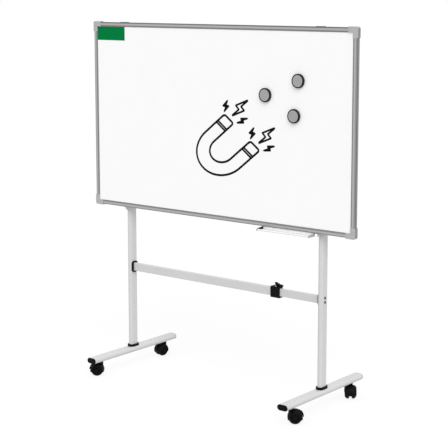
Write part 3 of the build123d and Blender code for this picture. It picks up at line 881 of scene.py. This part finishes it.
def magnetMesh(name, radius, deep):
    edge, face, top = magnet["edge"], radius - magnet["rim"], deep - magnet["recess"]
    lip, (nearer, further) = magnet["lip"], magnet["faceHighlight"]
    rings = [(0, 0)] + [(radius - inwards * mm, up * mm) for inwards, up in magnet["back"]]
    rings.append((radius, deep - edge))
    for turn in magnet["edgeTurns"]:
        rings.append((radius - edge * (1 - math.cos(turn)), deep - edge * (1 - math.sin(turn))))
    rings += [(radius - edge, deep), (face + lip, deep), (face, top + lip / 4), (face - lip, top)]
    rings += [(face - nearer, top), (face - further, top), (0, top)]
    return ringStack(name, rings, magnet["sides"])


def paintFace(mesh, radius, deep):
    # Slot 1 is the grey face, slot 2 its pale edge, a painted highlight
    face, top = radius - magnet["rim"], deep - magnet["recess"]
    middle = face - magnet["faceHighlight"][0] - magnet["lip"] / 4
    for part in mesh.polygons:
        reach = Vector(part.center[:2]).length
        if part.center.z > top - magnet["lip"] / 2 and reach < face:
            part.material_index = 1 if reach < middle else 2


def makeMagnets():
    for node in ("left_magnet", "right_magnet", "lower_magnet"):
        low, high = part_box(node)
        middle, radius, deep = (low + high) / 2, (high.x - low.x) / 2, high.y - low.y
        mesh = magnetMesh(node + "_puck", radius, deep)
        piece = newPiece(node + "_puck", mesh, [rimFinish, finishes["magnet_grey"], faceHighlightFinish])
        paintFace(mesh, radius, deep)
        mesh.transform(standOn((middle.x, high.y, middle.z), (0, -1, 0)))
        smoothByAngle(mesh)
        settle(piece, bodyOf(node), "magnet_grey", node)


makeMagnets()
print("magnets made")


# Castor wheels: a domed side with a dished and ribbed disc, round a hub
wheel = {
    "radius": 32.5,          # of the wheel that the two profiles are drawn for, in millimetres
    "width": 22 * mm,
    "bore": 4.05 * mm,
    "hubWall": 5.4 * mm,
    "ribs": 10,
    "ribReach": (9.6, 19.0),
    "ribThickness": 2.2 * mm,
    "ribDepth": (6.0 * mm, 2.2 * mm),
    "sides": 64,
}
# Radius, and depth in from that side's face, both in millimetres
outerProfile = [(0, 0.9), (7.2, 0.9), (8.6, 1.5), (9.5, 3.0), (9.8, 4.6), (10.6, 5.2), (17.6, 5.2),
                (18.6, 4.7), (19.2, 1.0), (19.7, 0.2), (20.4, 0.0), (22.6, 0.7), (24.8, 1.9),
                (26.9, 3.5), (28.8, 5.5), (30.4, 7.9), (31.6, 10.6), (32.3, 13.2), (32.5, 14.6)]
innerProfile = [(32.5, 6.6), (32.2, 4.6), (31.3, 2.4), (29.9, 0.9), (28.4, 0.0), (25.6, 0.4),
                (24.6, 1.6), (23.6, 4.4), (10.4, 4.6), (9.4, 3.8), (8.8, 0.3)]
castorCorners = ("left_front", "left_rear", "right_front", "right_rear")


def wheelMiddles(corner):
    boxes = [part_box(corner + "_wheel_" + side) for side in "ab"]
    return [(low + high) / 2 for low, high in boxes]


def wheelMesh(scale):
    half = wheel["width"] / 2
    rings = [(reach * scale, half - depth * mm) for reach, depth in outerProfile]
    rings += [(reach * scale, depth * mm - half) for reach, depth in innerProfile]
    hubWall = half - wheel["hubWall"]
    rings += [(wheel["bore"], rings[-1][1]), (wheel["bore"], hubWall), (0, hubWall)]
    return ringStack("wheel", rings, wheel["sides"])


def makeWheels():
    half, nylon = wheel["width"] / 2, finishes["wheel_nylon"]
    for corner in castorCorners:
        middles = wheelMiddles(corner)
        for k, side in enumerate("ab"):
            node = corner + "_wheel_" + side
            low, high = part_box(node)
            scale = (high.z - low.z) / 2 / wheel["radius"]
            inner, outer = (reach * scale for reach in wheel["ribReach"])
            deeper, nearer = wheel["ribDepth"]
            values = {"Count": wheel["ribs"], "Inner": inner, "Outer": outer,
                      "Thickness": wheel["ribThickness"], "Low": half - deeper, "High": half - nearer,
                      "Material": nylon}
            ribs = grown(bpy.data.meshes.new("ribs"), wheelRibs, values)
            mesh = joined(node + "_detail", [wheelMesh(scale), ribs])
            mesh.transform(standOn(middles[k], (middles[k] - middles[1 - k]).normalized()))
            smoothByAngle(mesh)
            settle(newPiece(node + "_detail", mesh, [nylon]), bodyOf(node), "wheel_nylon", node)


makeWheels()
print("wheels made")


# Button head bolts with hexagon sockets
boltSize = {
    "length": 37.8 * mm,
    "shank": 4.0 * mm,       # radii from here on
    "head": 7.0 * mm,
    "socket": 2.9 * mm,
    "height": 4.0 * mm,
    "socketDepth": 2.2 * mm,
    "point": 0.6 * mm,
    "rim": 0.2 * mm,
    "dome": ((0.25, 1.2), (1.1, 2.4), (2.5, 3.5)),    # millimetres in from the head's side and up
    "socketEdge": (0.5 * mm, 0.3 * mm),
    "socketCone": 0.4 * mm,
    "sides": 36,
    "smooth": 28.0,          # degrees
}
boltPlaces = {
    "foot": 15 * mm,         # to each side of the post's middle, up through the foot
    "post": 11 * mm,         # above and below the crossbar's middle
}


def hexOutline(turn):
    return math.cos(math.pi / 6) / math.cos((turn % (math.pi / 3)) - math.pi / 6)


def boltMesh():
    length, shank, head, height = (boltSize[name] for name in ("length", "shank", "head", "height"))
    socket, point, rim = (boltSize[name] for name in ("socket", "point", "rim"))
    across, down = boltSize["socketEdge"]
    floor = height - boltSize["socketDepth"]
    rings = [(0, -length), (shank - point, -length), (shank, point - length), (shank, 0)]
    rings += [(head - rim, 0), (head, rim)]
    rings += [(head - inwards * mm, up * mm) for inwards, up in boltSize["dome"]]
    rings += [(socket + across, height, hexOutline), (socket, height - down, hexOutline)]
    rings += [(socket, floor, hexOutline), (0, floor - boltSize["socketCone"])]
    return ringStack("bolt", rings, boltSize["sides"])


def makeBolts():
    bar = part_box("crossbar_outer_tube")
    height = (bar[0].z + bar[1].z) / 2
    master = newPiece("bolt", boltMesh(), [])
    for side, sign in (("left", -1), ("right", 1)):
        node = side + "_leg_bolts"
        post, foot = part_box(side + "_post"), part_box(side + "_foot")
        middle = (post[0].x + post[1].x) / 2
        outer = post[1].x if sign > 0 else post[0].x
        places = [((middle, way * boltPlaces["foot"], foot[0].z), (0, 0, -1)) for way in (-1, 1)]
        places += [((outer, 0, height + way * boltPlaces["post"]), (sign, 0, 0)) for way in (-1, 1)]
        points = bpy.data.meshes.new(node + "_places")
        points.from_pydata([place for place, _ in places], [], [])
        headings = points.attributes.new("outwards", "FLOAT_VECTOR", "POINT")
        for k, (_, heading) in enumerate(places):
            headings.data[k].vector = heading
        mesh = grown(points, boltSet, {"Bolt": master, "Material": boltFinish})
        smoothByAngle(mesh, boltSize["smooth"])
        settle(newPiece(node + "_detail", mesh, [boltFinish]), bodyOf(node), "zinc_plated_steel", node)
    bpy.data.objects.remove(master)


makeBolts()
print("bolts made")


# Moulded and pressed pieces: copies of their CAD nodes with rounded edges
roundings = {                # millimetres
    "clamp_sleeve": 1.2, "clamp_lever": 1.1,
    "left_lower_bracket": 0.8, "right_lower_bracket": 0.8,
    "left_upper_bracket": 0.5, "right_upper_bracket": 0.5,
    "left_lower_knob": 1.4, "right_lower_knob": 1.4,
    "left_upper_knob": 1.4, "right_upper_knob": 1.4,
    "left_post_collars": 0.9, "right_post_collars": 0.9,
}
fuller = {                   # beyond their CAD nodes
    "ringOut": 1.6 * mm,     # the base ring's rim
    "ringUp": 3.4 * mm,      # and its top
    "saddleOut": 4.0 * mm,   # the saddle plate's sides
    "saddleThick": 2.4 * mm,    # and its face along the crossbar
    "clampLong": 5.0 * mm,
}
collarParts = {
    "ring": 20 * mm,         # above the post's foot: the base ring is below, the saddle plate above
    "ringTop": 5 * mm,       # above the post's foot
    "rim": 3 * mm,           # outside the post
    "saddleSide": 11 * mm,   # from the post's middle
    "saddleHalf": 18 * mm,
    "saddleBack": 2 * mm,    # off the post
    "clampEnd": 2 * mm,
}


def fullerCollars(side):
    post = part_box(side + "_post")
    middle, sign = (post[0].x + post[1].x) / 2, -1 if side == "left" else 1
    thick, half = (post[1].x - post[0].x) / 2, (post[1].y - post[0].y) / 2
    face = middle - sign * thick

    def reshape(shape):
        for v in shape.verts:
            if v.co.z < post[0].z + collarParts["ring"]:
                straight = max(-(half - thick), min(half - thick, v.co.y))
                away = Vector((v.co.x - middle, v.co.y - straight, 0.0))
                if away.length > thick + collarParts["rim"]:
                    v.co += away.normalized() * fuller["ringOut"]
                if v.co.z > post[0].z + collarParts["ringTop"]:
                    v.co.z += fuller["ringUp"]
            elif side == "left":    # the right one hardly shows beside its post
                if abs(v.co.y) > collarParts["saddleSide"]:
                    v.co.y *= 1 + fuller["saddleOut"] / collarParts["saddleHalf"]
                if abs(v.co.x - face) > collarParts["saddleBack"]:
                    v.co.x -= sign * fuller["saddleThick"]
    return reshape


def longerClamp(shape):
    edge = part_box("clamp_sleeve")[0].x + collarParts["clampEnd"]
    for v in shape.verts:
        if v.co.x < edge:
            v.co.x -= fuller["clampLong"]


def finishOf(node):
    # The slot's name and the finish of a rounded piece
    if node.endswith("lower_bracket"):
        return "light_powder_coat", finishes["light_powder_coat"]
    if node.endswith("upper_bracket"):
        return "zinc_plated_steel", strapFinish
    return "black_plastic", finishes["black_plastic"]


def makeRounded():
    reshapes = {side + "_post_collars": fullerCollars(side) for side in ("left", "right")}
    reshapes["clamp_sleeve"] = longerClamp
    for node, width in roundings.items():
        slotName, material = finishOf(node)
        piece = softened(node, node + "_rounded", material, width * mm, reshape=reshapes.get(node))
        settle(piece, bodyOf(node), slotName, node)


makeRounded()
print("moulded pieces rounded:", len(roundings))


# Castor hoods with round shoulders, and brake pedals with ridged treads
castor = {
    "shoulder": 3.2 * mm,
    "shoulderSteps": 4,
    "shoulderDeep": 0.4 * mm,    # how near the fender's sides a shoulder lies
    "domeStart": 12 * mm,    # from the castor's middle plane, out to its side
    "domeDrop": 9.5 * mm,
    "domePower": 2.2,
    "domeCuts": 7,
    "cutMerge": 0.01 * mm,
    "hoodInner": 35.5 * mm,  # the fender's outer surface lies beyond this from the axle
    "hoodWall": 3 * mm,
    "pedalEdge": 0.7 * mm,
    "ridges": 4,
    "firstRidge": 11.0,      # degrees above level, seen from the axle
    "ridgeStep": 8.5,
    "ridgeWide": 19.0 * mm,
    "ridgeThick": 1.6 * mm,
    "ridgeHigh": 1.4 * mm,
}


def fromAxle(place, centre, axis):
    # How far a place is along the axle, and the way to it from the axle's line
    away = place - centre
    along = away.dot(axis)
    return along, away - axis * along


def makeHood(corner, centre, axis):
    hood = corner + "_castor_hood"
    farthest = max(abs(fromAxle(v.co, centre, axis)[0]) for v in frame["nodes"][hood].data.vertices)
    start, cuts, drop = castor["domeStart"], castor["domeCuts"], castor["domeDrop"]
    span = farthest - start

    def shoulder(place):
        along, away = fromAxle(place, centre, axis)
        return abs(along) > farthest - castor["shoulderDeep"] and away.length > castor["hoodInner"] - drop

    def domed(shape):
        # The fender's edges fall towards the wheels, which are round shouldered too
        for cut in range(cuts):
            for way in (1, -1):
                spot = centre + axis * way * (start + span * cut / cuts)
                everything = shape.verts[:] + shape.edges[:] + shape.faces[:]
                merge = castor["cutMerge"]
                bmesh.ops.bisect_plane(shape, geom=everything, plane_co=spot, plane_no=axis, dist=merge)
        for v in shape.verts:
            along, away = fromAxle(v.co, centre, axis)
            share = (abs(along) - start) / span
            if share > 0 and away.length > castor["hoodInner"] - castor["hoodWall"]:
                v.co -= away.normalized() * drop * share ** castor["domePower"]

    piece = softened(hood, hood + "_rounded", finishes["black_plastic"], castor["shoulder"],
                     segments=castor["shoulderSteps"], broad=shoulder, reshape=domed)
    settle(piece, bodyOf(hood), "black_plastic", hood)


def makePedal(corner, centre, axis):
    pedal, black = corner + "_brake_pedal", finishes["black_plastic"]
    low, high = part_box(pedal)
    heading = (low + high) / 2 - centre
    heading.z = 0.0
    heading = (heading - axis * heading.dot(axis)).normalized()
    if axis.cross(heading).z < 0:
        axis = -axis
    outer = max(fromAxle(v.co, centre, axis)[1].length for v in frame["nodes"][pedal].data.vertices)
    values = {"Count": castor["ridges"], "Reach": outer, "Start": math.radians(castor["firstRidge"]),
              "Step": math.radians(castor["ridgeStep"]), "Width": castor["ridgeWide"],
              "Thickness": castor["ridgeThick"], "Height": castor["ridgeHigh"], "Material": black}
    ridges = grown(bpy.data.meshes.new("ridges"), treadRidges, values)
    turned = Matrix((heading, axis.cross(heading), axis)).transposed().to_4x4()
    ridges.transform(Matrix.Translation(centre) @ turned)
    plate = softened(pedal, pedal + "_plate", black, castor["pedalEdge"])
    whole = joined(pedal + "_ridged", [plate.data, ridges])
    bpy.data.objects.remove(plate)
    smoothByAngle(whole)
    settle(newPiece(pedal + "_ridged", whole, [black]), bodyOf(pedal), "black_plastic", pedal)


def makeCastorBodies():
    for corner in castorCorners:
        first, second = wheelMiddles(corner)
        centre, axis = (first + second) / 2, (first - second).normalized()
        makeHood(corner, centre, axis)
        makePedal(corner, centre, axis)


makeCastorBodies()
print("castor hoods and pedals made")


# The tray's two end caps: the left one black, as painted shade at the tray's dark left end, the right one
# grey
trayCaps = {"edge": 0.5 * mm, "left": "black_plastic", "right": "grey_plastic"}


def makeTrayCaps():
    low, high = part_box("tray_end_caps")
    middle = (low.x + high.x) / 2
    sides = {"left": lambda place: place.x < middle, "right": lambda place: place.x > middle}
    for side, keep in sides.items():
        slotName = trayCaps[side]
        name = "tray_" + side + "_cap"
        piece = softened("tray_end_caps", name, finishes[slotName], trayCaps["edge"], keep=keep)
        settle(piece, "pen_tray", slotName, "tray_end_caps")


makeTrayCaps()
print("tray caps made")
